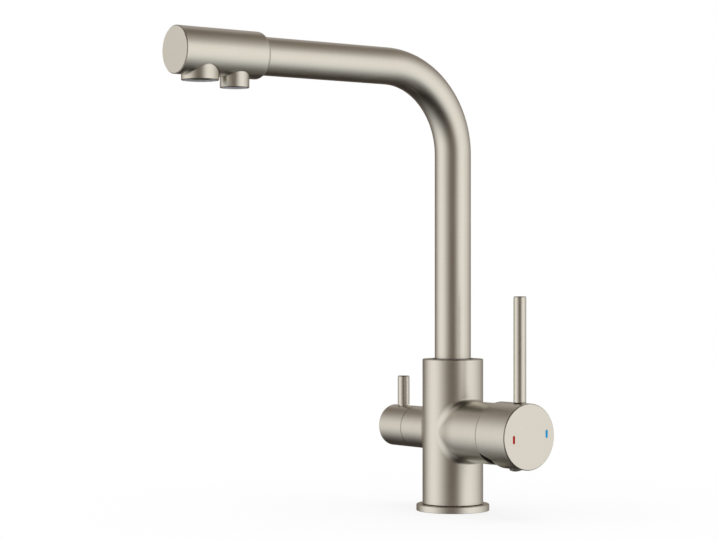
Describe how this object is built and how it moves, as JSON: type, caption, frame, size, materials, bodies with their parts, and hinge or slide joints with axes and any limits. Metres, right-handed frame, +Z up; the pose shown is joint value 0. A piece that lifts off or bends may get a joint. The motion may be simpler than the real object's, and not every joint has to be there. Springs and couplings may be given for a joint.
{
  "type": "three-way filter tap",
  "caption": "Single-hole kitchen tap with a square swivel spout that has separate mixed and filtered water outlets, a side mixer lever and a filtered-water lever.",
  "frame": {"origin": "centre of the base on the worktop, at the mouth of the fixing stud's thread", "axes": "+Z up, spout reaches along -Y, mixer arm along +X, filter arm along -X"},
  "size_m": [0.1637, 0.2792, 0.3572],
  "materials": {
    "satin_nickel": "satin nickel plate, fine brushing round the turned forms",
    "brass": "machined",
    "rubber": "matte",
    "acetal": "smooth",
    "grey_plastic": "moulded",
    "dark_plastic": "moulded",
    "ceramic": "lapped ceramic",
    "screw_steel": "machined",
    "hot_red": "inlaid enamel",
    "cold_blue": "inlaid enamel"
  },
  "bodies": {
    "tap_body": {"base_flange": "satin_nickel", "base_gasket": "rubber", "body_seal": "rubber", "body": "satin_nickel", "cartridge_base": "grey_plastic", "cartridge_seals": "rubber", "cartridge_fixed_disc": "ceramic", "cartridge_shell": "grey_plastic", "cartridge_nut": "brass", "cartridge_dome": "dark_plastic", "filter_valve_body": "brass", "filter_fixed_disc": "ceramic", "filter_valve_seal": "rubber", "filter_valve_oring": "rubber", "filter_spigot": "brass", "spigot_oring": "rubber", "spout_lock_screw": "screw_steel", "spout_wiper": "rubber"},
    "swivel_spout": {"spout_tube": "satin_nickel", "spout_journal": "brass", "spout_bushes": "acetal", "spout_orings": "rubber", "filter_tube": "acetal", "spout_head": "satin_nickel", "head_end_cap": "satin_nickel", "head_cap_oring": "rubber", "aerator_housing": "grey_plastic", "aerator_screen": "dark_plastic", "aerator_gasket": "rubber", "filter_outlet_elbow": "grey_plastic", "filter_outlet_housing": "grey_plastic", "filter_outlet_screen": "dark_plastic", "filter_outlet_gasket": "rubber"},
    "temperature_carrier": {"cartridge_carrier": "grey_plastic", "lever_pivot_pin": "screw_steel"},
    "mixer_control": {"cartridge_stem": "screw_steel", "mixer_handle": "satin_nickel", "mixer_lever": "satin_nickel", "mixer_grub_screw": "screw_steel", "mixer_screw_plug": "dark_plastic", "hot_mark": "hot_red", "cold_mark": "cold_blue"},
    "mixing_disc": {"cartridge_moving_disc": "ceramic", "cartridge_driver": "acetal"},
    "filter_control": {"filter_stem": "brass", "filter_moving_disc": "ceramic", "filter_handle": "satin_nickel", "filter_lever": "satin_nickel", "filter_grub_screw": "screw_steel"}
  },
  "joints": [
    {"name": "spout_swivel", "type": "hinge", "parent": "tap_body", "child": "swivel_spout", "pos_m": [0, 0, 0.1], "axis": [0, 0, 1], "continuous": true},
    {"name": "temperature_turn", "type": "hinge", "parent": "tap_body", "child": "temperature_carrier", "pos_m": [0.05, 0, 0.062], "axis": [1, 0, 0], "range_deg": [-50, 50]},
    {"name": "flow_tilt", "type": "hinge", "parent": "temperature_carrier", "child": "mixer_control", "pos_m": [0.05, 0, 0.062], "axis": [0, 1, 0], "range_deg": [0, 22]},
    {"name": "disc_slide", "type": "slide", "parent": "temperature_carrier", "child": "mixing_disc", "axis": [0, 0, 1], "range_m": [0, 0.0036]},
    {"name": "filter_turn", "type": "hinge", "parent": "tap_body", "child": "filter_control", "pos_m": [-0.05, 0, 0.062], "axis": [1, 0, 0], "range_deg": [0, 90]}
  ],
  "couplings": [
    {"joint": "disc_slide", "follows": "flow_tilt", "m_per_rad": 0.009}
  ]
}
